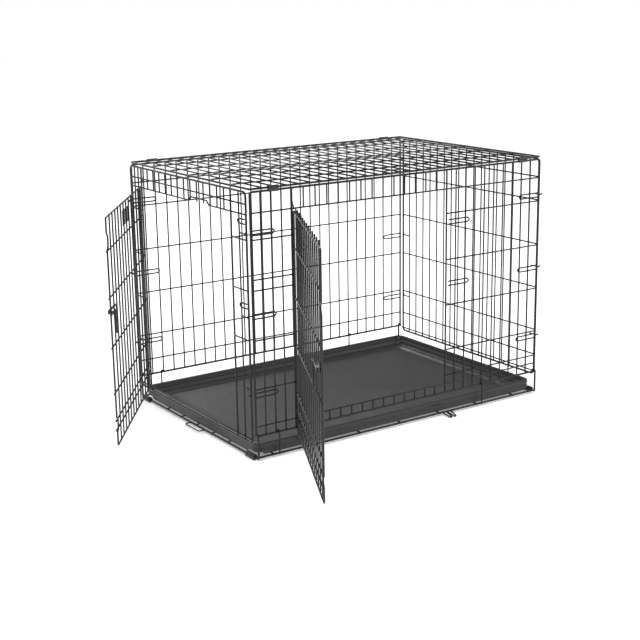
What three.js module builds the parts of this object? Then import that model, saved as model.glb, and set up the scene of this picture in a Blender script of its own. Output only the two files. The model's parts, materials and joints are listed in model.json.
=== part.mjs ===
// Folding wire dog crate with two side-hinged doors and a slide-out plastic pan.
// Millimetres, +Z up. The origin is on the floor under the middle of the crate,
// X runs along its length, and the long side with the door faces -Y.
import * as THREE from "three";

// ---- Driving dimensions ----------------------------------------------------------------

const crateLength = 1080; // between the centres of the two end posts of a long side
const crateWidth = 730; // between the planes of the two long sides
const rollerRadius = 9; // roller feet, which the crate stands on
const railHeight = 781; // centre of the side panels' own top rails
const topGap = 8; // from those rails up to the middle of the top panel

const rimWire = 6; // width of the heavy wires round each panel
const infillWire = 3.6; // width of the light wires between them
const panelThickness = 4; // depth of a panel across its wires

const uprightPitch = 54; // spacing of the upright wires
const rowPitch = 144; // spacing of the level wires
const lowestRow = 215; // height of the lowest level wire that all panels share
const lowExtraRow = 130; // one more under it on the back and the end panels
const headerRow = 722; // level wire over the front door and across the right end

const fitGap = 0.3; // between pieces that rest on each other
const hingeGap = 1.2; // between a turning rail and what it turns beside
const cornerGap = 7; // end panels stand this far outside the long sides' end posts
const endInset = 10; // and their posts this far inside the long sides' planes
const doorClear = 0.4; // between a door's turning hinge edge and its panel
const doorGap = 2; // between a door and its bolt, and its edge and the catch loops

const panEndSlack = 7; // pan to the ends of the base at each end
const panSideSlack = 5; // pan to uprights at each side
const panHeight = 35;
const panWall = 3;
const panLip = 14;

const hingeInset = { front: 2, left: 13 }; // a door's hinge, inside its doorway's jamb
const frontOpening = { from: 137 - crateLength / 2, width: 560, sill: 105 };
const frontDoor = { width: 550, bottom: 64, top: 716, bolt: 409, angle: -116.3 };
const leftOpening = {
  from: 93 - crateWidth / 2,
  to: crateWidth / 2 - 83,
  lintel: 718,
  overLintel: 747,
};
const leftDoor = { width: crateWidth - 153, bottom: 77, top: 727, bolt: 459, angle: -126.1 };

const frontRail = 75; // centre height of each panel's bottom rail
const backRail = 79;
const leftRail = 54;
const rightRail = 62;
const doubledRail = 10; // an end panel's second bottom wire stands this far over its first

// ---- Values worked out from them -------------------------------------------------------

const halfLength = crateLength / 2;
const halfWidth = crateWidth / 2;
const baseHeight = rollerRadius; // the base grid is level with the rollers' middles
const baseTop = baseHeight + rimWire / 2;
const topHeight = railHeight + topGap;
const endPlane = halfLength + cornerGap;
const endHalfWidth = halfWidth - endInset;
const rows = [0, 1, 2, 3].map((step) => lowestRow + step * rowPitch);
const frontJamb = frontOpening.from + frontOpening.width;
const frontHinge = frontOpening.from + hingeInset.front;
const leftHinge = leftOpening.to - hingeInset.left;
const doorSwing = Math.hypot(rimWire, panelThickness) / 2; // radius that its hinge edge needs
const doorOffset = panelThickness / 2 + doorSwing + doorClear; // hinge to panel's middle
const frontDoorPlane = -halfWidth - doorOffset;
const leftDoorPlane = -endPlane - doorOffset;

// ---- Materials -------------------------------------------------------------------------

function finish(color, roughness, metalness) {
  return () => new THREE.MeshStandardMaterial({ color, roughness, metalness });
}

const coatedWire = finish(0x141416, 0.35, 0.3);
const panPlastic = finish(0x2b2b30, 0.55, 0);
const footPlastic = finish(0x101012, 0.5, 0);

// ---- Shapes ----------------------------------------------------------------------------

// Evenly spaced wire positions between two rims, as near to the pitch as they divide.
function spaced(from, to, pitch) {
  const count = Math.max(1, Math.round((to - from) / pitch));
  return Array.from({ length: count + 1 }, (_, i) => from + ((to - from) * i) / count);
}

// Half the width of every wire in a row: heavy at an end that is a rim, light elsewhere.
function halfWidths(places, firstIsRim, lastIsRim) {
  return places.map((_, index) => {
    const isFirst = index === 0 && firstIsRim;
    const isLast = index === places.length - 1 && lastIsRim;
    return (isFirst || isLast ? rimWire : infillWire) / 2;
  });
}

// A flat grille in the XY plane: one wire at every u and one at every v. The two edges of
// each wire cut the sheet into fields, and a field is open where neither wire crosses it.
function grille(us, vs, rims = {}, thickness = panelThickness) {
  const { left = true, right = true, low = true, high = true } = rims;
  const halfU = halfWidths(us, left, right);
  const halfV = halfWidths(vs, low, high);
  const cutsU = us.flatMap((u, i) => [u - halfU[i], u + halfU[i]]);
  const cutsV = vs.flatMap((v, i) => [v - halfV[i], v + halfV[i]]);
  const fieldsU = cutsU.length - 1;
  const fieldsV = cutsV.length - 1;
  const isSolid = (i, j) =>
    i >= 0 && j >= 0 && i < fieldsU && j < fieldsV && (i % 2 === 0 || j % 2 === 0);

  const points = [];
  for (const z of [-thickness / 2, thickness / 2]) {
    for (const v of cutsV) {
      for (const u of cutsU) points.push(u, v, z);
    }
  }
  const at = (i, j, level) => (level * cutsV.length + j) * cutsU.length + i;
  const faces = [];
  const quad = (a, b, c, d) => faces.push(a, b, c, a, c, d);
  for (let i = 0; i < fieldsU; i += 1) {
    for (let j = 0; j < fieldsV; j += 1) {
      if (!isSolid(i, j)) continue;
      const ring = [[i, j], [i + 1, j], [i + 1, j + 1], [i, j + 1]];
      const under = ring.map(([u, v]) => at(u, v, 0));
      const over = ring.map(([u, v]) => at(u, v, 1));
      quad(over[0], over[1], over[2], over[3]);
      quad(under[3], under[2], under[1], under[0]);
      const beyond = [[i, j - 1], [i + 1, j], [i, j + 1], [i - 1, j]];
      beyond.forEach(([u, v], side) => {
        const next = (side + 1) % 4;
        if (!isSolid(u, v)) quad(under[side], under[next], over[next], over[side]);
      });
    }
  }
  const geometry = new THREE.BufferGeometry();
  geometry.setAttribute("position", new THREE.Float32BufferAttribute(points, 3));
  geometry.setIndex(faces);
  return geometry;
}

// An outline given depth, centred on its own plane.
function extruded(outline, depth) {
  const geometry = new THREE.ExtrudeGeometry(outline, { depth, bevelEnabled: false });
  geometry.translate(0, 0, -depth / 2);
  return geometry;
}

// Turn an outline's u and v into the directions that a panel needs.
function facingY(geometry) {
  return geometry.rotateX(Math.PI / 2);
}

function facingX(geometry) {
  return geometry.rotateX(Math.PI / 2).rotateZ(Math.PI / 2);
}

// A long loop of bent wire: a rounded bar with a slot through it.
function wireLoop(length, height, wire) {
  const outer = capsule(THREE.Shape, length, height);
  outer.holes.push(capsule(THREE.Path, length - 2 * wire, height - 2 * wire));
  return new THREE.ExtrudeGeometry(outer, {
    depth: wire,
    bevelEnabled: false,
    curveSegments: 4,
  }).translate(0, 0, -wire / 2);
}

function capsule(Kind, length, height) {
  const radius = height / 2;
  const reach = length / 2 - radius;
  const path = new Kind();
  path.moveTo(-reach, -radius);
  path.lineTo(reach, -radius);
  path.absarc(reach, 0, radius, -Math.PI / 2, Math.PI / 2, false);
  path.lineTo(-reach, radius);
  path.absarc(-reach, 0, radius, Math.PI / 2, (3 * Math.PI) / 2, false);
  return path;
}

const crate = new THREE.Group();

function place(name, geometry, material, position = [0, 0, 0], parent = crate) {
  const mesh = new THREE.Mesh(geometry, material());
  mesh.name = name;
  mesh.position.set(...position);
  parent.add(mesh);
  return mesh;
}

// ---- Base: floor grid, corner uprights, hangers, roller feet ----------------------------

const rollerLength = 46;
const rollerSides = 12;
const flatToCorner = 1 / Math.cos(Math.PI / rollerSides);
const rollerInset = 10; // from the corner of the rim
const rollerReach = halfWidth - rollerInset; // outer end of each roller, from the middle
const rollerBore = (rimWire * Math.SQRT2) / 2 + fitGap; // clears the rim's corners
const freeEnd = rollerReach - rollerLength - infillWire / 2 - fitGap; // rim bare beyond here
const baseCross = { first: -479, last: 450, pitch: 155 }; // wires from front to back
const baseLongPitch = 97;

place(
  "base_grid",
  grille(
    [-halfLength, ...spaced(baseCross.first, baseCross.last, baseCross.pitch), halfLength],
    [-halfWidth, ...spaced(-freeEnd, freeEnd, baseLongPitch), halfWidth],
    {},
    rimWire,
  ),
  coatedWire,
  [0, 0, baseHeight],
);

const standWire = 4.4; // the uprights and hangers under the long sides

function standUnder(name, x, y, rail) {
  const from = baseTop + fitGap;
  const to = rail - rimWire / 2 - hingeGap;
  const wire = new THREE.BoxGeometry(standWire, standWire, to - from);
  place(name, wire, coatedWire, [x, y, (from + to) / 2]);
}

const cornerUpright = halfLength - standWire / 2;
const hangerPlaces = { left: -465, right: 307 };
for (const [side, y, rail] of [
  ["front", -halfWidth, frontRail],
  ["back", halfWidth, backRail],
]) {
  standUnder(`${side}_left_corner_upright`, -cornerUpright, y, rail);
  standUnder(`${side}_right_corner_upright`, cornerUpright, y, rail);
  standUnder(`${side}_left_hanger`, hangerPlaces.left, y, rail);
  standUnder(`${side}_right_hanger`, hangerPlaces.right, y, rail);
}

function roller() {
  const half = rollerLength / 2;
  const profile = [
    new THREE.Vector2(rollerBore, -half),
    new THREE.Vector2(rollerRadius, -half),
    new THREE.Vector2(rollerRadius, half),
    new THREE.Vector2(rollerBore, half),
    new THREE.Vector2(rollerBore, -half),
  ];
  const turned = new THREE.LatheGeometry(profile, rollerSides, Math.PI / rollerSides);
  return turned.scale(flatToCorner, 1, flatToCorner);
}

for (const [end, x] of [["left", -halfLength], ["right", halfLength]]) {
  for (const [side, sign] of [["front", -1], ["back", 1]]) {
    const y = sign * (rollerReach - rollerLength / 2);
    place(`${side}_${end}_roller`, roller(), footPlastic, [x, y, rollerRadius]);
  }
}

// Double wire loop on the front rim beside the doorway, which holds the shut door's foot.
const floorCatchWidth = 34;
const floorCatchReach = 34;
const floorCatchMiddle = frontJamb + 6;
place(
  "front_floor_catch",
  wireLoop(floorCatchWidth, floorCatchReach, infillWire),
  coatedWire,
  [
    floorCatchMiddle,
    -halfWidth - rimWire / 2 - fitGap - floorCatchReach / 2,
    baseHeight,
  ],
);

// ---- Pan and its stop -------------------------------------------------------------------

const panBottom = baseTop + fitGap;
const panHalfLength = halfLength - panEndSlack;
const panHalfWidth = halfWidth - panSideSlack - infillWire;

// Its floor lies between the rollers, and a raised band round the floor slides over them.
const rollerTop = rollerRadius * (1 + flatToCorner);
const bandHeight = rollerTop + 2 * fitGap - panBottom;
const bandSlope = 4;
const bandWidth = panHalfWidth - (rollerReach - rollerLength) + fitGap + bandSlope;

// A shallow open tray with a lip turned down into a skirt, as rings of corners from the
// underside of its floor out under the lip, round the skirt and back in over the top.
function pan() {
  const steps = [
    [bandWidth, 0],
    [bandWidth - bandSlope, bandHeight],
    [panLip, bandHeight],
    [panLip - panWall, panHeight - panWall],
    [panWall, panHeight - panWall],
    [panWall, bandHeight],
    [0, bandHeight],
    [0, panHeight],
    [panLip, panHeight],
    [panLip + panWall, bandHeight + panWall],
    [bandWidth - bandSlope + panWall, bandHeight + panWall],
    [bandWidth + panWall, panWall],
  ];
  const points = [];
  for (const [inset, z] of steps) {
    const x = panHalfLength - inset;
    const y = panHalfWidth - inset;
    points.push([-x, -y, z], [x, -y, z], [x, y, z], [-x, y, z]);
  }
  const faces = [];
  for (let ring = 0; ring < steps.length - 1; ring += 1) {
    for (let side = 0; side < 4; side += 1) {
      const a = ring * 4 + side;
      const b = ring * 4 + ((side + 1) % 4);
      faces.push(a, b, b + 4, a, b + 4, a + 4);
    }
  }
  const last = (steps.length - 1) * 4;
  faces.push(0, 2, 1, 0, 3, 2);
  faces.push(last, last + 1, last + 2, last, last + 2, last + 3);
  const geometry = new THREE.BufferGeometry();
  geometry.setAttribute("position", new THREE.Float32BufferAttribute(points.flat(), 3));
  geometry.setIndex(faces);
  return geometry;
}

place("pan", pan(), panPlastic, [0, 0, panBottom]);

// Wire stop on the left rim, swung down so that the pan can slide out over it.
const stopWidth = 94;
const stopReach = 18;
const stopMiddle = -16;
const stopWire = 3;
place(
  "pan_stop",
  wireLoop(stopWidth, stopReach, stopWire).rotateZ(Math.PI / 2),
  coatedWire,
  [-halfLength - rimWire / 2 - hingeGap - stopReach / 2, stopMiddle, baseHeight],
);

// ---- Long sides --------------------------------------------------------------------------

const frontTop = railHeight;
const longPosts = [-halfLength, halfLength];

function frontPanel() {
  const y = [0, -halfWidth, 0];
  const sideRows = [frontRail, ...rows, headerRow, frontTop];
  const leftUs = spaced(-halfLength, frontOpening.from, uprightPitch);
  const rightUs = spaced(frontJamb, halfLength, uprightPitch);
  const between = [
    frontOpening.from + rimWire / 2 + fitGap + infillWire / 2,
    frontJamb - rimWire / 2 - fitGap - infillWire / 2,
  ];
  const middleUs = spaced(...between, uprightPitch);
  const inner = { left: false, right: false };
  place("front_panel_left_grille", facingY(grille(leftUs, sideRows)), coatedWire, y);
  place("front_panel_right_grille", facingY(grille(rightUs, sideRows)), coatedWire, y);
  place(
    "front_panel_header_grille",
    facingY(grille(middleUs, [headerRow, frontTop], { ...inner, low: false })),
    coatedWire,
    y,
  );
  place(
    "front_panel_sill_grille",
    facingY(grille(middleUs, [frontRail, frontOpening.sill], { ...inner, high: false })),
    coatedWire,
    y,
  );
}

frontPanel();

place(
  "back_panel_grille",
  facingY(
    grille(spaced(...longPosts, uprightPitch), [backRail, lowExtraRow, ...rows, railHeight]),
  ),
  coatedWire,
  [0, halfWidth, 0],
);

// ---- End panels --------------------------------------------------------------------------

function leftPanel() {
  const x = [-endPlane, 0, 0];
  const header = [leftOpening.lintel, leftOpening.overLintel, railHeight];
  const sill = [leftRail, leftRail + doubledRail];
  const sideRows = [...sill, lowExtraRow, ...rows, ...header];
  const frontUs = spaced(-endHalfWidth, leftOpening.from, uprightPitch / 2);
  const backUs = [leftOpening.to, endHalfWidth];
  const between = [
    leftOpening.from + rimWire / 2 + fitGap + infillWire / 2,
    leftOpening.to - rimWire / 2 - fitGap - infillWire / 2,
  ];
  const middleUs = spaced(...between, uprightPitch);
  const inner = { left: false, right: false };
  place("left_panel_front_grille", facingX(grille(frontUs, sideRows)), coatedWire, x);
  place("left_panel_back_grille", facingX(grille(backUs, sideRows)), coatedWire, x);
  place(
    "left_panel_header_grille",
    facingX(grille(middleUs, header, { ...inner, low: false })),
    coatedWire,
    x,
  );
  place(
    "left_panel_sill_grille",
    facingX(grille(middleUs, sill, { ...inner, high: false })),
    coatedWire,
    x,
  );
}

leftPanel();

place(
  "right_panel_grille",
  facingX(
    grille(
      spaced(-endHalfWidth, endHalfWidth, uprightPitch),
      [rightRail, rightRail + doubledRail, lowExtraRow, ...rows, headerRow, railHeight],
    ),
  ),
  coatedWire,
  [endPlane, 0, 0],
);

// ---- Top panel ---------------------------------------------------------------------------

const topCrossPitch = 120;
place(
  "top_panel_grille",
  grille(
    spaced(-halfLength, halfLength, uprightPitch),
    spaced(-halfWidth, halfWidth, topCrossPitch),
  ),
  coatedWire,
  [0, 0, topHeight],
);

// ---- Doors with slide bolts ---------------------------------------------------------------

const doorTopStep = 94; // from a door's top wire down to its next level wire
const doorRowPitch = 146; // and between the level wires under that
const boltInset = 8; // tip of the drawn bolt, inside the door's free edge
const boltLength = 110;
const boltWire = 4;
const handleDrop = 84;
const guideLength = 36;
const guideHeight = 14;

function boltShape() {
  const outline = new THREE.Shape();
  outline.moveTo(0, -boltWire / 2);
  outline.lineTo(boltLength, -boltWire / 2);
  outline.lineTo(boltLength, boltWire / 2);
  outline.lineTo(-boltWire, boltWire / 2);
  outline.lineTo(-boltWire, -handleDrop);
  outline.lineTo(0, -handleDrop);
  outline.closePath();
  return facingY(extruded(outline, boltWire));
}

function doorRows(door) {
  const first = door.top - doorTopStep;
  const shared = [0, 1, 2, 3].map((step) => first - step * doorRowPitch);
  return [door.bottom, ...shared.reverse(), door.top];
}

// A door lies along +X from its hinge with its outer face to -Y, and its group turns it.
function door(name, size, hinge) {
  const group = new THREE.Group();
  group.position.set(...hinge);
  group.rotation.z = THREE.MathUtils.degToRad(size.angle);
  const uprights = spaced(0, size.width, uprightPitch);
  const face = -panelThickness / 2 - fitGap;
  place(`${name}_grille`, facingY(grille(uprights, doorRows(size))), coatedWire, [0, 0, 0], group);
  place(
    `${name}_bolt`,
    boltShape(),
    coatedWire,
    [size.width - boltLength - boltInset, face - boltWire / 2 - doorGap, size.bolt],
    group,
  );
  place(
    `${name}_bolt_guide`,
    facingY(wireLoop(guideLength, guideHeight, infillWire / 2)),
    coatedWire,
    [size.width - guideLength, face - infillWire / 4, size.bolt],
    group,
  );
  crate.add(group);
  return group;
}

door("front_door", frontDoor, [frontHinge, frontDoorPlane, 0]);
const leftDoorGroup = door("left_door", leftDoor, [leftDoorPlane, leftHinge, 0]);

// Blank plate wired to the upper part of the left door.
const badge = { from: 214, width: 108, height: 45, middle: 680, depth: 2 };
place(
  "left_door_badge",
  new THREE.BoxGeometry(badge.width, badge.depth, badge.height),
  footPlastic,
  [
    badge.from + badge.width / 2,
    -panelThickness / 2 - fitGap - badge.depth / 2,
    badge.middle,
  ],
  leftDoorGroup,
);

// Hinge pins that each door turns on, one over it and one under it.
const pinRadius = 2;
const pinLength = 12;
const pinSides = 8;
function hingePins(name, size, hinge) {
  for (const [end, z] of [
    ["upper", size.top + rimWire / 2 + fitGap + pinLength / 2],
    ["lower", size.bottom - rimWire / 2 - fitGap - pinLength / 2],
  ]) {
    const pin = new THREE.CylinderGeometry(pinRadius, pinRadius, pinLength, pinSides);
    place(`${name}_${end}_pin`, pin.rotateX(Math.PI / 2), coatedWire, [...hinge, z]);
  }
}

hingePins("front_door", frontDoor, [frontHinge, frontDoorPlane]);
hingePins("left_door", leftDoor, [leftDoorPlane, leftHinge]);

// ---- Catch loops for the bolts, and corner loops for the end panels' hooks -----------------

const catchLength = 84;
const catchHeight = 16;
const innerFace = panelThickness / 2 + fitGap + infillWire / 2; // a loop against a panel

const catchStart = doorGap + rimWire / 2; // clear of the shut door's edge
const frontCatchHeights = { upper: 621, lower: 428 };
for (const [name, z] of Object.entries(frontCatchHeights)) {
  place(
    `front_${name}_catch_loop`,
    facingY(wireLoop(catchLength, catchHeight, infillWire)),
    coatedWire,
    [frontJamb + catchStart + catchLength / 2, -halfWidth - innerFace, z],
  );
}

const leftCatchLength = 40;
const leftCatchHeights = { upper: 699, lower: leftDoor.bolt };
for (const [name, z] of Object.entries(leftCatchHeights)) {
  place(
    `left_${name}_catch_loop`,
    facingX(wireLoop(leftCatchLength, catchHeight, infillWire)),
    coatedWire,
    [-endPlane - innerFace, -endHalfWidth + leftCatchLength / 2, z],
  );
}

const cornerLoopHeights = { upper: 665, middle: 427, lower: 196 };
const cornerLoopLength = 82;
const cornerLoopHeight = 18;
for (const [side, y] of [["front", -halfWidth + innerFace], ["back", halfWidth - innerFace]]) {
  for (const [end, sign] of [["left", -1], ["right", 1]]) {
    for (const [level, z] of Object.entries(cornerLoopHeights)) {
      place(
        `${side}_${end}_${level}_corner_loop`,
        facingY(wireLoop(cornerLoopLength, cornerLoopHeight, infillWire)),
        coatedWire,
        [sign * (halfLength - cornerLoopLength / 2), y, z],
      );
    }
  }
}

// ---- Clips that join the top panel to the rails under it ------------------------------------

// The back pair are the top panel's hinges and stay over its own rim. The front pair reach
// down over the front panel's rail.
const clipLength = 34;
const clipDepth = 3;
const clipPlace = 0.86; // along each half of the crate, from its middle
const clipOffset = halfWidth + rimWire / 2 + fitGap + clipDepth / 2;
const clipTop = topHeight + rimWire / 2;
for (const [side, y, bottom] of [
  ["front", -clipOffset, railHeight - rimWire / 2],
  ["back", clipOffset, topHeight - rimWire / 2],
]) {
  for (const [end, sign] of [["left", -1], ["right", 1]]) {
    place(
      `top_${side}_${end}_clip`,
      new THREE.BoxGeometry(clipLength, clipDepth, clipTop - bottom),
      footPlastic,
      [sign * clipPlace * halfLength, y, (clipTop + bottom) / 2],
    );
  }
}

export default crate;
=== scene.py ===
import json
import math

import bmesh
import bpy
from mathutils import Matrix, Vector


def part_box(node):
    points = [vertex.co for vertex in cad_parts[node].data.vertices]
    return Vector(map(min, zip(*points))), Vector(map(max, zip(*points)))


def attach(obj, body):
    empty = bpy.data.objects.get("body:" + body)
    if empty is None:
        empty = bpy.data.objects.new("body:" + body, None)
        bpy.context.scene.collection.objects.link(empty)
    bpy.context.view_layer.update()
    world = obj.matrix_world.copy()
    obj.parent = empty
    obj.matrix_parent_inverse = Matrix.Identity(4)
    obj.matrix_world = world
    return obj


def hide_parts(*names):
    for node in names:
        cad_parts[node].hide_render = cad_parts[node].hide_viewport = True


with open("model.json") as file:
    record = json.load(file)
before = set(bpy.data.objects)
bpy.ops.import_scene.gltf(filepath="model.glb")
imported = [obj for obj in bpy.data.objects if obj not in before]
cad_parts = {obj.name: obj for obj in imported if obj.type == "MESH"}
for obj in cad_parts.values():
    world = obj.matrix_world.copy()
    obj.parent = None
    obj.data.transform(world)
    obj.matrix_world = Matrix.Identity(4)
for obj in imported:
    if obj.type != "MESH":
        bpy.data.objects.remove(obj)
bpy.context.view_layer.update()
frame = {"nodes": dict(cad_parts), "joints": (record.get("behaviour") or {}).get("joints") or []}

# ---- Wire: coated steel rod, bent cold and welded where it crosses --------------------------
# Every panel is one grid of drawn steel wire, dipped in a glossy black coating after it was
# welded. Heavy rod makes the rims, light rod fills them, and both are swept along their path.

HEAVY = 0.0032  # radius of a rim wire
POST = HEAVY * 0.85  # radius of a jamb's or a door's outer wire
LIGHT = 0.0023  # radius of an infill wire
LAYER = 0.0015  # a welded crossing sinks each wire this far from the panel's middle
PITCH = 0.040  # spacing of uprights
UP = Vector((0, 0, 1))


def surface(name, color, roughness, grain, bump, **sockets):
    """A material whose tint and sheen vary broadly, over a fine raised grain. Sizes in metres."""
    material = bpy.data.materials.new(name)
    material.use_nodes = True
    nodes, links = material.node_tree.nodes, material.node_tree.links
    shader = nodes["Principled BSDF"]
    for socket, value in sockets.items():
        shader.inputs[socket].default_value = value
    place = nodes.new("ShaderNodeTexCoord")
    fine = nodes.new("ShaderNodeTexNoise")
    fine.inputs["Scale"].default_value = 1 / grain
    fine.inputs["Detail"].default_value = 4
    broad = nodes.new("ShaderNodeTexNoise")
    broad.inputs["Scale"].default_value = 9
    broad.inputs["Detail"].default_value = 3
    for noise in (fine, broad):
        links.new(place.outputs["Object"], noise.inputs["Vector"])
    gloss = nodes.new("ShaderNodeMapRange")
    gloss.inputs["From Min"].default_value = 0.3
    gloss.inputs["From Max"].default_value = 0.7
    gloss.inputs["To Min"].default_value = roughness[0]
    gloss.inputs["To Max"].default_value = roughness[1]
    links.new(broad.outputs["Fac"], gloss.inputs["Value"])
    links.new(gloss.outputs["Result"], shader.inputs["Roughness"])
    tint = nodes.new("ShaderNodeMixRGB")
    tint.inputs["Color1"].default_value = (*color, 1)
    tint.inputs["Color2"].default_value = (*(min(1, c * 1.45 + 0.002) for c in color), 1)
    links.new(broad.outputs["Fac"], tint.inputs["Fac"])
    links.new(tint.outputs["Color"], shader.inputs["Base Color"])
    height = nodes.new("ShaderNodeBump")
    height.inputs["Strength"].default_value = 1
    height.inputs["Distance"].default_value = bump
    links.new(fine.outputs["Fac"], height.inputs["Height"])
    links.new(height.outputs["Normal"], shader.inputs["Normal"])
    return material


coated_wire = surface("coated wire", (0.004, 0.004, 0.0045), (0.18, 0.30), 0.0016, 0.00003)
coated_wire.node_tree.nodes["Principled BSDF"].inputs["Specular IOR Level"].default_value = 0.32


def rounded(points, radius, steps=4, closed=False):
    """The path through these points with each corner turned on an arc of that radius."""
    points = [Vector(p) for p in points]
    path = []
    count = len(points)
    for i, corner in enumerate(points):
        if not closed and i in (0, count - 1):
            path.append(corner)
            continue
        before = points[i - 1] - corner
        after = points[(i + 1) % count] - corner
        turn = math.pi - before.angle(after)
        if turn < 0.02:
            path.append(corner)
            continue
        reach = min(radius * math.tan(turn / 2), before.length * 0.49, after.length * 0.49)
        start = corner + before.normalized() * reach
        end = corner + after.normalized() * reach
        for step in range(steps + 1):
            t = step / steps
            path.append(start.lerp(corner, t).lerp(corner.lerp(end, t), t))
    return path


def sweep(mesh, path, radius, sides=10, closed=False):
    """Adds a round rod along a path to the mesh. An open rod's ends are chamfered."""
    count = len(path)
    tangents = []
    for i in range(count):
        if closed:
            tangent = path[(i + 1) % count] - path[i - 1]
        else:
            tangent = path[min(i + 1, count - 1)] - path[max(i - 1, 0)]
        tangents.append(tangent.normalized())
    side = tangents[0].orthogonal().normalized()
    places = []
    for i, tangent in enumerate(tangents):
        side = (side - tangent * side.dot(tangent)).normalized()
        places.append((path[i], tangent, side.copy(), radius))
    if not closed:
        first, last = places[0], places[-1]
        inset = radius * 0.45
        places[0] = (first[0] + first[1] * inset, *first[1:])
        places[-1] = (last[0] - last[1] * inset, *last[1:])
        places.insert(0, (first[0], first[1], first[2], radius * 0.62))
        places.append((last[0], last[1], last[2], radius * 0.62))
    turns = [2 * math.pi * k / sides for k in range(sides)]
    rings = []
    for centre, tangent, across, size in places:
        other = tangent.cross(across)
        spokes = [across * math.cos(a) + other * math.sin(a) for a in turns]
        rings.append([mesh.verts.new(centre + spoke * size) for spoke in spokes])
    pairs = list(zip(rings, rings[1:])) + ([(rings[-1], rings[0])] if closed else [])
    for ring, after in pairs:
        for k in range(sides):
            mesh.faces.new((ring[k], ring[(k + 1) % sides], after[(k + 1) % sides], after[k]))
    if not closed:
        mesh.faces.new(list(reversed(rings[0])))
        mesh.faces.new(rings[-1])


def finish_piece(name, mesh, material, body, stands_for=()):
    """Turns a built mesh into an object that rides on its body and wears its material."""
    name = name.replace(" ", "_")
    bmesh.ops.recalc_face_normals(mesh, faces=mesh.faces)
    data = bpy.data.meshes.new(name)
    mesh.to_mesh(data)
    mesh.free()
    data.materials.append(material)
    for face in data.polygons:
        face.use_smooth = True
    data.set_sharp_from_angle(angle=math.radians(40))
    piece = bpy.data.objects.new(name, data)
    bpy.context.scene.collection.objects.link(piece)
    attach(piece, body)
    if stands_for:
        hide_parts(*stands_for)
    return piece


def wirework(name, runs, body, stands_for=()):
    """One piece of wire from (points, radius, bend, closed) runs."""
    mesh = bmesh.new()
    for points, radius, bend, closed in runs:
        sweep(mesh, rounded(points, bend, closed=closed), radius, closed=closed)
    return finish_piece(name, mesh, coated_wire, body, stands_for)


def plane(origin, across, up, out):
    """Turns a panel's own (across, up, out) distances into a place."""
    origin, across, up, out = (Vector(v) for v in (origin, across, up, out))
    return lambda u, v, w=0.0: origin + across * u + up * v + out * w


def upright(at, u, low, high, radius=LIGHT, layer=-LAYER):
    """A straight wire up a panel, on its inner face unless told otherwise."""
    return ([at(u, low, layer), at(u, high, layer)], radius, 0, False)


def level(at, v, left, right, radius=LIGHT, layer=LAYER):
    """A straight wire along a panel, on its outer face unless told otherwise."""
    return ([at(left, v, layer), at(right, v, layer)], radius, 0, False)


def rim(at, left, right, low, high, bend=0.008):
    """The heavy wire bent round a panel's edge and welded into a ring."""
    corners = [(left, low), (right, low), (right, high), (left, high)]
    return ([at(u, v) for u, v in corners], HEAVY, bend, True)


def stations(start, end, pitch):
    """Evenly spaced places between two rims, leaving the rims out."""
    count = max(1, round((end - start) / pitch))
    return [start + (end - start) * i / count for i in range(1, count)]


def middle(node, axis):
    """The middle of a node's box along one axis."""
    low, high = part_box(node)
    return (low[axis] + high[axis]) / 2


# ---- Base: floor grid, hangers and corner uprights ------------------------------------------
# A heavy rim lies just clear of the floor with light wires welded across it. At the corners
# and at two places on each long side a wire turns up outside and curls over the panel's rail.

grid_low, grid_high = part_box("base_grid")
half_length = grid_high.x - HEAVY
half_width = grid_high.y - HEAVY
rim_height = (grid_low.z + grid_high.z) / 2
floor_at = plane((0, 0, rim_height), (1, 0, 0), (0, 1, 0), (0, 0, 1))

first_cross, cross_pitch, cross_count = -0.479, 0.155, 7
bare_edge, long_pitch = 0.073, 0.097  # no long wire nearer the rim than the bare edge
floor_layer = 0.0009

base_runs = [rim(floor_at, -half_length, half_length, -half_width, half_width, 0.012)]
for x in [first_cross + cross_pitch * i for i in range(cross_count)]:
    base_runs.append(upright(floor_at, x, -half_width, half_width, LIGHT, -floor_layer))
for y in stations(-half_width + bare_edge, half_width - bare_edge, long_pitch):
    base_runs.append(level(floor_at, y, -half_length, half_length, LIGHT, floor_layer))
wirework("base grid wires", base_runs, "base", ["base_grid"])

rail_heights = {
    "front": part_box("front_panel_sill_grille")[0].z + HEAVY,
    "back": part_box("back_panel_grille")[0].z + HEAVY,
}
for side, sign in (("front", -1), ("back", 1)):
    rail = rail_heights[side]
    for end in ("left_corner_upright", "right_corner_upright", "left_hanger", "right_hanger"):
        node = f"{side}_{end}"
        x, y = middle(node, 0), sign * half_width
        radius = HEAVY if "corner" in end else LIGHT
        reach = HEAVY + radius + 0.0003
        hook = [(x, y + sign * reach, rim_height)]
        for step in range(6):
            turn = math.radians(-10 + 40 * step)
            hook.append((x, y + sign * reach * math.cos(turn), rail + reach * math.sin(turn)))
        foot = [(x, y, rim_height - HEAVY * 0.4), hook[0]]
        wirework(f"{side} {end} wire", [(foot + hook[1:], radius, 0.003, False)], "base", [node])

catch_low, catch_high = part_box("front_floor_catch")
catch_width = (catch_high.x - catch_low.x) / 2
catch_runs = []
for x in (catch_low.x, catch_low.x + catch_width):
    outline = [
        (x + 0.001, catch_high.y, rim_height),
        (x + 0.001, catch_high.y - 0.008, rim_height - 0.001),
        (x + catch_width * 0.30, catch_low.y + 0.001, LIGHT + 0.0002),
        (x + catch_width * 0.70, catch_low.y + 0.001, LIGHT + 0.0002),
        (x + catch_width - 0.001, catch_high.y - 0.008, rim_height - 0.001),
        (x + catch_width - 0.001, catch_high.y, rim_height),
    ]
    catch_runs.append((outline, LIGHT, 0.006, False))
wirework("front floor catch wires", catch_runs, "base", ["front_floor_catch"])

# ---- Roller feet ----------------------------------------------------------------------------
# Moulded plastic sleeves snapped over the rim at the corners. Each has rounded ends and two
# shallow grooves, and turns on the wire so that the crate can be rolled along.

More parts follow.
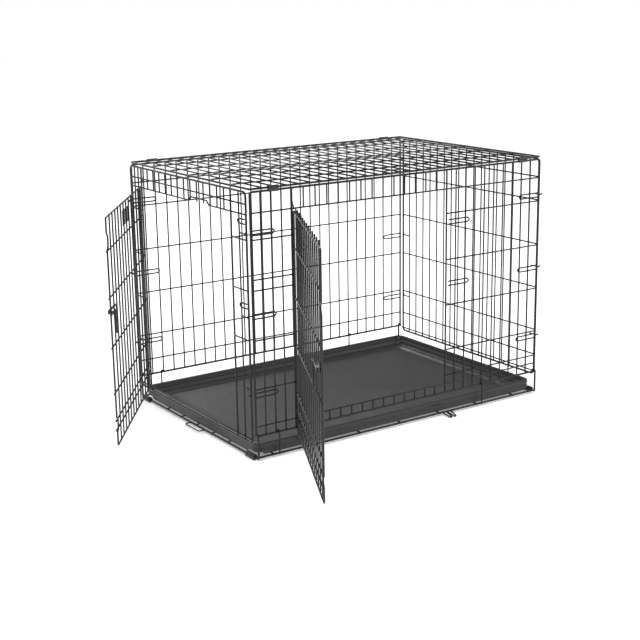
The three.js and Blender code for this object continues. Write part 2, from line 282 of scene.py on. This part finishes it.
foot_plastic = surface("foot plastic", (0.012, 0.012, 0.013), (0.38, 0.52), 0.0009, 0.00003)


def turned(name, profile, centre, material, body, stands_for, segments=32):
    """A piece turned about the Y axis from (radius, along) pairs that close on themselves."""
    mesh = bmesh.new()
    ring = [mesh.verts.new((r, along, 0)) for r, along in profile]
    edges = [mesh.edges.new((a, b)) for a, b in zip(ring, ring[1:] + ring[:1])]
    bmesh.ops.spin(
        mesh, geom=ring + edges, cent=(0, 0, 0), axis=(0, 1, 0), angle=2 * math.pi,
        steps=segments, use_merge=True,
    )
    bmesh.ops.translate(mesh, verts=mesh.verts, vec=centre)
    return finish_piece(name, mesh, material, body, stands_for)


for node in [n for n in frame["nodes"] if n.endswith("roller")]:
    low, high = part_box(node)
    radius = (high.z - low.z) / 2
    half = (high.y - low.y) / 2
    bore = HEAVY + 0.0005
    profile = [(bore, -half), (radius - 0.002, -half), (radius - 0.0006, -half + 0.0006)]
    profile += [(radius, -half + 0.002)]
    for groove in (-half * 0.55, half * 0.55):
        profile += [(radius, groove - 0.0018), (radius - 0.0012, groove - 0.0008)]
        profile += [(radius - 0.0012, groove + 0.0008), (radius, groove + 0.0018)]
    profile += [(radius, half - 0.002), (radius - 0.0006, half - 0.0006)]
    profile += [(radius - 0.002, half), (bore, half)]
    centre = [(low[i] + high[i]) / 2 for i in range(3)]
    turned(f"{node} sleeve", profile, centre, foot_plastic, node, [node])

# ---- Pan ------------------------------------------------------------------------------------
# Vacuum-formed plastic tray with a rolled lip, a stepped wall and a slightly sunk floor. Its
# face has the fine leather grain of the mould.

pan_plastic = surface("pan plastic", (0.012, 0.011, 0.013), (0.32, 0.46), 0.0012, 0.00008)
pan_low, pan_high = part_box("pan")


def rounded_ring(mesh, inset, height, corner, hang=0.0, steps=8):
    """Vertices round a rounded rectangle inside the pan's edge, hung lower clear of the feet."""
    half_x, half_y = pan_high.x - inset, pan_high.y - inset
    feet = min(between_feet, half_y - corner - 0.001)
    ring = []
    for quarter, (sx, sy) in enumerate([(1, 1), (-1, 1), (-1, -1), (1, -1)]):
        for step in range(steps + 1):
            turn = math.pi / 2 * (quarter + step / steps)
            x = sx * (half_x - corner) + corner * math.cos(turn)
            y = sy * (half_y - corner) + corner * math.sin(turn)
            on_long_side = step == (0 if quarter % 2 else steps)
            ring.append(mesh.verts.new((x, y, height - (hang if on_long_side else 0))))
        if quarter % 2:
            for y, drop in ((feet, 0), (feet - 0.006, hang), (0.006 - feet, hang), (-feet, 0)):
                ring.append(mesh.verts.new((sx * half_x, -sx * y, height - drop)))
    return ring


between_feet = 0.306  # from the middle to just inside where the roller feet begin
pan_wall = 0.0016
lip = pan_high.z - 0.0012
bed = pan_low.z + pan_wall
band = bed + 0.0068  # slides over the roller feet
floor_inset = 0.054
skirt = pan_low.z + 0.0078
pan_profile = [  # inset, height, corner radius and, for the skirt, how far it hangs
    (0.0016, skirt, 0.022, 0.0060), (0.0010, skirt + 0.0004, 0.022, 0.0060),
    (0.0016, skirt + 0.0080, 0.022), (0.0024, skirt + 0.0095, 0.022), (0.0024, lip - 0.0120, 0.022),
    (0.0012, lip - 0.0105, 0.022), (0.0012, lip - 0.003, 0.022), (0.0022, lip - 0.0006, 0.022),
    (0.0040, lip, 0.022), (0.0090, lip, 0.021), (0.0108, lip - 0.0008, 0.021),
    (0.0118, lip - 0.003, 0.021), (0.0132, lip - 0.011, 0.020), (0.0145, lip - 0.0125, 0.020),
    (0.0215, lip - 0.0130, 0.019), (0.0230, lip - 0.0145, 0.019), (0.0250, band + 0.004, 0.018),
    (0.0270, band + 0.0012, 0.018), (0.0300, band, 0.017), (floor_inset - 0.012, band, 0.030),
    (floor_inset - 0.009, band - 0.0010, 0.030), (floor_inset - 0.002, bed + 0.0012, 0.030),
    (floor_inset + 0.002, bed, 0.030),
]
mesh = bmesh.new()
rings = [rounded_ring(mesh, *row) for row in pan_profile]
for ring, after in zip(rings, rings[1:]):
    for k in range(len(ring)):
        following = (k + 1) % len(ring)
        mesh.faces.new((ring[k], ring[following], after[following], after[k]))
mesh.faces.new(rings[-1])
pan = finish_piece("pan tray", mesh, pan_plastic, "pan", ["pan"])
wall = pan.modifiers.new("wall", "SOLIDIFY")
wall.thickness = pan_wall
wall.offset = 0

# ---- Pan stop -------------------------------------------------------------------------------
# A flap of bent coated wire on the base's left rim. It lies flat here, and swings up to keep
# the pan in.

stop_low, stop_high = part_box("pan_stop")
stop_near, stop_far = stop_low.y + 0.003, stop_high.y - 0.003
stop_height = rim_height + 0.0005
stop_path = [
    (stop_high.x, stop_near, stop_height), (stop_low.x, stop_near, stop_height),
    (stop_low.x, stop_far, stop_height), (stop_high.x, stop_far, stop_height),
]
wirework("pan stop wire", [(stop_path, LIGHT * 0.9, 0.006, False)], "pan_stop", ["pan_stop"])

# ---- Front side: welded panel with a tall doorway -------------------------------------------
# Heavy rim, light uprights at an even pitch and level wires further apart. The doorway has a
# jamb on each side, a header over it and a short ladder of rungs for its sill.

front_at = plane((0, -half_width, 0), (1, 0, 0), (0, 0, 1), (0, -1, 0))
left_low, left_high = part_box("front_panel_left_grille")
right_low, right_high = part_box("front_panel_right_grille")
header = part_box("front_panel_header_grille")[0].z + LIGHT
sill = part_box("front_panel_sill_grille")[1].z - LIGHT
post_left, post_right = left_low.x + HEAVY, right_high.x - HEAVY
jamb_hinge, jamb_latch = left_high.x - HEAVY, right_low.x + HEAVY
rail, top_rail = left_low.z + HEAVY, left_high.z - HEAVY
first_row, row_gap = 0.215, 0.144
shared_rows = [first_row + row_gap * i for i in range(4)]
hinge_side_pitch = 0.035
hinge_side_row = 0.534
low_rung = 0.027  # height of the next level wire over the sill

front_runs = [rim(front_at, post_left, post_right, rail, top_rail)]
for x in (jamb_hinge, jamb_latch):
    front_runs.append(upright(front_at, x, rail, top_rail, POST, 0))
for x in stations(post_left, jamb_hinge, hinge_side_pitch) + stations(jamb_latch, post_right, PITCH):
    front_runs.append(upright(front_at, x, rail, top_rail))
for x in stations(jamb_hinge, jamb_latch, PITCH):
    front_runs.append(upright(front_at, x, header, top_rail))
    front_runs.append(upright(front_at, x, rail, sill))
front_runs.append(level(front_at, header, post_left, post_right))
front_runs.append(level(front_at, sill, post_left, post_right))
for v in shared_rows + [hinge_side_row]:
    front_runs.append(level(front_at, v, post_left, jamb_hinge))
for v in shared_rows + [sill + low_rung]:
    front_runs.append(level(front_at, v, jamb_latch, post_right))
wirework(
    "front panel wires", front_runs, "front_panel",
    [f"front_panel_{part}_grille" for part in ("left", "right", "header", "sill")],
)

# ---- Back side ------------------------------------------------------------------------------
# The same welded grid of coated wire without a doorway. It folds down on a line by its rail.

back_at = plane((0, half_width, 0), (1, 0, 0), (0, 0, 1), (0, 1, 0))
back_low, back_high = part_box("back_panel_grille")
back_rail, back_top = back_low.z + HEAVY, back_high.z - HEAVY
back_runs = [rim(back_at, post_left, post_right, back_rail, back_top)]
for x in stations(post_left, post_right, PITCH):
    back_runs.append(upright(back_at, x, back_rail, back_top))
for v in shared_rows + [header, sill + low_rung - 0.001]:
    back_runs.append(level(back_at, v, post_left, post_right))
wirework("back panel wires", back_runs, "back_panel", ["back_panel_grille"])

# ---- End panels -----------------------------------------------------------------------------
# Welded grids narrower than the long sides' spacing, with a doubled bottom rail. Some level
# wires' ends turn out beside the long sides' posts as hooks that snap into the corner loops.

end_bend = 0.015


def doubled_rail(at, reach, rail):
    """The second bottom wire, whose ends stand out past the corners."""
    above, past = 0.010, 0.010
    return level(at, rail + above, -reach - past, reach + past)


def post_hooks(at, reach):
    """Short wire ends that curl outward beside both posts at the height of each corner loop."""
    runs = []
    for place in ("upper", "middle", "lower"):
        v = middle(f"front_left_{place}_corner_loop", 2)
        for sign in (-1, 1):
            u = sign * reach
            curl = [
                at(u - sign * 0.030, v, 0.0040), at(u + sign * 0.0005, v, 0.0050),
                at(u + sign * 0.0060, v, 0.0075), at(u + sign * 0.0065, v + 0.006, 0.0085),
            ]
            runs.append((curl, LIGHT, 0.004, False))
    return runs


right_at = plane((middle("right_panel_grille", 0), 0, 0), (0, 1, 0), (0, 0, 1), (1, 0, 0))
low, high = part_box("right_panel_grille")
end_reach = high.y - HEAVY
end_rail, end_top = low.z + HEAVY, high.z - HEAVY
lowest_row = 0.130
right_runs = [rim(right_at, -end_reach, end_reach, end_rail, end_top, end_bend)]
for y in stations(-end_reach, end_reach, PITCH):
    right_runs.append(upright(right_at, y, end_rail, end_top))
for v in shared_rows + [header, lowest_row]:
    right_runs.append(level(right_at, v, -end_reach, end_reach))
right_runs.append(doubled_rail(right_at, end_reach, end_rail))
right_runs += post_hooks(right_at, end_reach)
wirework("right panel wires", right_runs, "right_panel", ["right_panel_grille"])

left_plane = middle("left_panel_front_grille", 0)
left_at = plane((left_plane, 0, 0), (0, 1, 0), (0, 0, 1), (-1, 0, 0))
front_strip_low, front_strip_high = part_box("left_panel_front_grille")
low_jamb = front_strip_high.y - HEAVY
high_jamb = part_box("left_panel_back_grille")[0].y + HEAVY
left_rail, left_top = front_strip_low.z + HEAVY, front_strip_high.z - HEAVY
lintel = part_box("left_panel_header_grille")[0].z + LIGHT
over_lintel = lintel + 0.029

left_runs = [rim(left_at, -end_reach, end_reach, left_rail, left_top, end_bend)]
for y in (low_jamb, high_jamb):
    left_runs.append(upright(left_at, y, left_rail, left_top, POST, 0))
for y in stations(-end_reach, low_jamb, PITCH) + stations(high_jamb, end_reach, PITCH / 1.5):
    left_runs.append(upright(left_at, y, left_rail, left_top))
for y in stations(low_jamb, high_jamb, PITCH):
    left_runs.append(upright(left_at, y, lintel, left_top))
left_runs.append(level(left_at, over_lintel, -end_reach, end_reach))
step = 0.012  # the lintel is bent up by this much between its two steps
step_start, step_end = -0.150, -0.028
lintel_path = [
    (-end_reach, lintel), (step_start, lintel), (step_start + step, lintel + step),
    (step_end - step, lintel + step), (step_end, lintel), (end_reach, lintel),
]
left_runs.append(([left_at(u, v, LAYER) for u, v in lintel_path], LIGHT, 0.006, False))
left_runs.append(doubled_rail(left_at, end_reach, left_rail))
for v in shared_rows:
    left_runs.append(level(left_at, v, -end_reach, low_jamb))
    left_runs.append(level(left_at, v, high_jamb, end_reach))
wirework(
    "left panel wires", left_runs + post_hooks(left_at, end_reach), "left_panel",
    [f"left_panel_{part}_grille" for part in ("front", "back", "header", "sill")],
)

# ---- Top panel ------------------------------------------------------------------------------
# The lid is a flat welded grid with its cross wires over the long ones, hung by its clips.

top_low, top_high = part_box("top_panel_grille")
top_height = (top_low.z + top_high.z) / 2
top_at = plane((0, 0, top_height), (1, 0, 0), (0, 1, 0), (0, 0, 1))
lid_row_pitch = 0.120
top_runs = [rim(top_at, post_left, post_right, -half_width, half_width)]
for x in stations(post_left, post_right, PITCH):
    top_runs.append(upright(top_at, x, -half_width, half_width, LIGHT, LAYER))
for y in stations(-half_width, half_width, lid_row_pitch):
    top_runs.append(level(top_at, y, post_left, post_right, LIGHT, -LAYER))
wirework("top panel wires", top_runs, "top_panel", ["top_panel_grille"])

# ---- Doors ----------------------------------------------------------------------------------
# Each door is one welded grid hung on its hinge wire. The free edge steps inward near both
# ends, the level wires run a little past it, and the uprights' cut tips stand over the top.


def door_plane(name):
    """The door's own plane at rest, measured from its hinge along the way that it stands open."""
    joint = next(j for j in frame["joints"] if j["name"] == f"{name}_swing")
    hinge = Vector(joint["pos_m"])
    bolt = next(j for j in frame["joints"] if j["name"] == f"{name}_bolt_slide")
    across = Vector(bolt["axis"]).normalized()
    out = across.cross(UP)
    return plane((hinge.x, hinge.y, 0), across, UP, out)


def door_runs(at, width, low, high, rows, steps, tip):
    """A door's outer wire, stepped in between each pair of heights in steps, and its grid."""
    past, notch, slope = 0.010, 0.014, 0.010
    edge = [(width, low)]
    for start, end in steps:
        edge += [(width, start), (width - notch, start + slope)]
        edge += [(width - notch, end - slope), (width, end)]
    edge.append((width, high))
    runs = [([at(u, v) for u, v in [(0, high), (0, low)] + edge], POST, 0.005, True)]
    for u in stations(0, width, PITCH):
        runs.append(upright(at, u, low, high + tip))
    for v in rows:
        runs.append(level(at, v, 0, width + past))
    return runs


front_door_at, left_door_at = door_plane("front_door"), door_plane("left_door")
front_width, left_width = 0.550, 0.577

low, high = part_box("front_door_grille")
rows = (0.614, 0.470, 0.326, 0.182, 0.137, 0.104)
steps = ((0.104, 0.137), (0.553, 0.586))
runs = door_runs(front_door_at, front_width, low.z + HEAVY, high.z - HEAVY, rows, steps, 0.015)
wirework("front door wires", runs, "front_door", ["front_door_grille"])

low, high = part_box("left_door_grille")
rows = (0.634, 0.503, 0.362, 0.229, 0.150, 0.123)
steps = ((0.115, 0.160), (0.637, 0.684))
runs = door_runs(left_door_at, left_width, low.z + HEAVY, high.z - HEAVY, rows, steps, 0.004)
wirework("left door wires", runs, "left_door", ["left_door_grille"])

# ---- Hinge hooks ----------------------------------------------------------------------------
# One wire end from the panel turns out over the top of the door's hinge wire, and another
# under its foot, so the welded steel hooks hold the door up and let it turn.

hinge_wire = 0.0019
for name, body in (("front_door", "front_panel"), ("left_door", "left_panel")):
    for end, sign in (("upper", 1), ("lower", -1)):
        node = f"{name}_{end}_pin"
        low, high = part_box(node)
        x, y = middle(node, 0), middle(node, 1)
        inner, outer = (low.z, high.z) if sign > 0 else (high.z, low.z)
        panel_x, panel_y = (x, -half_width) if body == "front_panel" else (left_plane, y)
        hook = [(x, y, inner), (x, y, outer), (panel_x, panel_y, outer)]
        hook.append((panel_x, panel_y, outer + sign * 0.012))
        wirework(f"{node} hook", [(hook, hinge_wire, 0.003, False)], body, [node])

# ---- Slide bolts and their guides -----------------------------------------------------------
# A round bolt runs through a pressed steel guide clenched on the door's wires. Its inner end
# is bent down into a long finger loop that drops behind a wire to lock it.


bolt_radius = 0.0022
bolt_out = 0.0083  # how far the bolt runs in front of the door's plane


def bolt_piece(name, at, width, height):
    """The bolt's wire: straight toward the free edge, with a hairpin finger loop at its heel."""
    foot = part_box(f"{name}_bolt")[0].z
    bend = foot + 0.004
    tip, heel, hairpin = width - 0.008, width - 0.121, 0.014
    outline = [
        (tip, height), (heel, height), (heel, bend), (heel + hairpin / 2, foot),
        (heel + hairpin, bend), (heel + hairpin, height - 0.012),
    ]
    path = [at(u, v, bolt_out) for u, v in outline]
    wirework(f"{name} bolt wire", [(path, bolt_radius, 0.006, False)], f"{name}_bolt", [f"{name}_bolt"])


def guide_piece(name, at, width, height):
    """A folded strip: two feet against the wires with a bridge over the bolt."""
    start, end = width - 0.060, width - 0.018
    seat, crown = 0.0032, 0.0118
    half_section = [(0.0045, crown), (0.0065, seat), (0.013, seat)]
    section = [(-v, w) for v, w in reversed(half_section)] + half_section
    mesh = bmesh.new()
    rows = [[mesh.verts.new(at(u, height + v, w)) for v, w in section] for u in (start, end)]
    for k in range(len(section) - 1):
        mesh.faces.new((rows[0][k], rows[0][k + 1], rows[1][k + 1], rows[1][k]))
    stands_for = [f"{name}_bolt_guide"]
    piece = finish_piece(f"{name} bolt bridge", mesh, coated_wire, name, stands_for)
    sheet = piece.modifiers.new("sheet", "SOLIDIFY")
    sheet.thickness = 0.0012
    sheet.offset = 0
    edge = piece.modifiers.new("edge", "BEVEL")
    edge.width = 0.0004
    edge.segments = 2


for name, at, width in (
    ("front_door", front_door_at, front_width), ("left_door", left_door_at, left_width),
):
    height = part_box(f"{name}_bolt")[1].z - 0.002
    bolt_piece(name, at, width, height)
    guide_piece(name, at, width, height)

# ---- Blank badge ----------------------------------------------------------------------------
# A small moulded plastic plate pressed on the left door's wires. It carries nothing.

badge_plastic = surface("badge plastic", (0.018, 0.018, 0.020), (0.25, 0.35), 0.002, 0.00002)
low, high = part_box("left_door_badge")
badge_start, badge_end, badge_out = 0.214, 0.322, 0.0034
mesh = bmesh.new()
corners = [(badge_start, low.z), (badge_end, low.z), (badge_end, high.z), (badge_start, high.z)]
mesh.faces.new([mesh.verts.new(left_door_at(u, v, badge_out)) for u, v in corners])
badge = finish_piece(
    "left door badge plate", mesh, badge_plastic, "left_door", ["left_door_badge"],
)
plate = badge.modifiers.new("plate", "SOLIDIFY")
plate.thickness = 0.0018
plate.offset = 0
edge = badge.modifiers.new("edge", "BEVEL")
edge.width = 0.0008
edge.segments = 3

# ---- Catch loops and corner loops -----------------------------------------------------------
# Closed bows of light wire welded to a post or jamb. The bolts and the end panels' hooks
# snap through them.


def bow(node, at, root, reach, body, layer):
    """A wire bow from a post at root, running reach along the panel and ending in a blunt point."""
    height = middle(node, 2)
    half, point = 0.0066, 0.002
    way = 1 if reach > 0 else -1
    neck, nose = root + reach - way * 0.009, root + reach - way * LIGHT
    outline = [
        (root, height + half), (neck, height + half), (nose, height + point),
        (nose, height - point), (neck, height - half), (root, height - half),
    ]
    path = [at(u, v, layer) for u, v in outline]
    wirework(f"{node} wire", [(path, LIGHT, 0.004, False)], body, [node])


corner_layer = -(HEAVY + LIGHT) + 0.0006
catch_layer = HEAVY + LIGHT - 0.0004
for side, at in (("front", front_at), ("back", back_at)):
    for end, way in (("left", 1), ("right", -1)):
        for place in ("upper", "middle", "lower"):
            node = f"{side}_{end}_{place}_corner_loop"
            low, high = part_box(node)
            bow(node, at, -way * half_length, way * (high.x - low.x), f"{side}_panel", corner_layer)
for place in ("upper", "lower"):
    node = f"front_{place}_catch_loop"
    low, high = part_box(node)
    bow(node, front_at, low.x, high.x - low.x, "front_panel", catch_layer)
    node = f"left_{place}_catch_loop"
    low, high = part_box(node)
    bow(node, left_at, low.y, high.y - low.y, "left_panel", catch_layer)

# ---- Top clips ------------------------------------------------------------------------------
# Moulded clips pressed on the lid's rim, with a leg down the outside of the rail beneath.

clip_plastic = surface("clip plastic", (0.009, 0.009, 0.010), (0.28, 0.40), 0.001, 0.00003)
for node in [n for n in frame["nodes"] if n.startswith("top_") and n.endswith("_clip")]:
    low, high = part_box(node)
    sign = -1 if low.y < 0 else 1
    rim_y = sign * half_width
    inner, outer = HEAVY + 0.0002, HEAVY + 0.0026
    section = []
    for step in range(9):
        turn = math.radians(200 - 25 * step)
        section.append((-math.cos(turn) * inner, math.sin(turn) * inner))
    leg = low.z - top_height
    section += [(inner, leg), (inner + 0.0010, leg - 0.0010), (outer, leg + 0.0010)]
    for step in range(9):
        turn = math.radians(25 * step)
        section.append((math.cos(turn) * outer, math.sin(turn) * outer))
    mesh = bmesh.new()
    rows = [
        [mesh.verts.new((x, rim_y + sign * w, top_height + v)) for w, v in section]
        for x in (low.x, high.x)
    ]
    count = len(section)
    for k in range(count):
        mesh.faces.new((rows[0][k], rows[0][(k + 1) % count], rows[1][(k + 1) % count], rows[1][k]))
    mesh.faces.new(rows[0])
    mesh.faces.new(list(reversed(rows[1])))
    finish_piece(f"{node} moulding", mesh, clip_plastic, "top_panel", [node])

# ---- Floor, light and camera ----------------------------------------------------------------
# A pale seamless floor under broad soft light, with the viewpoint low and off the left end.

bpy.ops.mesh.primitive_plane_add(size=40, location=(0, 0, 0))
floor = bpy.context.object
floor.name = "floor"
pale = surface("pale floor", (0.80, 0.80, 0.80), (0.85, 0.95), 0.01, 0.0)
pale_shader = pale.node_tree.nodes["Principled BSDF"]
pale_shader.inputs["Specular IOR Level"].default_value = 0
pale_shader.inputs["Emission Color"].default_value = (1, 1, 1, 1)
pale_shader.inputs["Emission Strength"].default_value = 0.22
floor.data.materials.append(pale)

world = bpy.data.worlds.new("studio")
world.use_nodes = True
backdrop = world.node_tree.nodes["Background"]
backdrop.inputs["Color"].default_value = (1, 1, 1, 1)
ray = world.node_tree.nodes.new("ShaderNodeLightPath")
room = world.node_tree.nodes.new("ShaderNodeMapRange")
room.inputs["To Min"].default_value = 1.0
room.inputs["To Max"].default_value = 0.55  # what the gloss mirrors is a dimmer room
world.node_tree.links.new(ray.outputs["Is Glossy Ray"], room.inputs["Value"])
world.node_tree.links.new(room.outputs["Result"], backdrop.inputs["Strength"])
bpy.context.scene.world = world
bpy.context.scene.view_settings.view_transform = "Standard"


def lamp(name, place, size, power):
    """A square soft light aimed at the middle of the crate."""
    light = bpy.data.lights.new(name, "AREA")
    light.energy = power
    light.size = size
    lamp_object = bpy.data.objects.new(name, light)
    lamp_object.location = place
    toward = Vector((0, 0, 0.4)) - Vector(place)
    lamp_object.rotation_euler = toward.to_track_quat("-Z", "Y").to_euler()
    bpy.context.scene.collection.objects.link(lamp_object)


lamp("key", (-2.5, -2.5, 4.0), 2.0, 90)
lamp("fill", (3.0, -2.0, 2.5), 2.5, 35)
lamp("rim", (0.5, 3.5, 3.0), 2.0, 50)

camera = bpy.data.cameras.new("camera")
camera.lens = 72.2
camera.sensor_width = 36
camera.shift_x = -0.0150
camera.shift_y = -0.0064
viewer = bpy.data.objects.new("camera", camera)
azimuth, elevation, roll = (math.radians(a) for a in (34.31, 14.38, -0.78))
level_ahead = Vector((math.sin(azimuth), math.cos(azimuth), 0))
looking = level_ahead * math.cos(elevation) - UP * math.sin(elevation)
sideways = Vector((math.cos(azimuth), -math.sin(azimuth), 0))
level_up = sideways.cross(looking)
tilted = sideways * math.cos(roll) + level_up * math.sin(roll)
basis = Matrix((tilted, tilted.cross(looking), -looking)).transposed().to_4x4()
aim, distance = Vector((-0.0311, 0, 0.279)), 4.1996
basis.translation = aim - looking * distance
viewer.matrix_world = basis
bpy.context.scene.collection.objects.link(viewer)
bpy.context.scene.camera = viewer
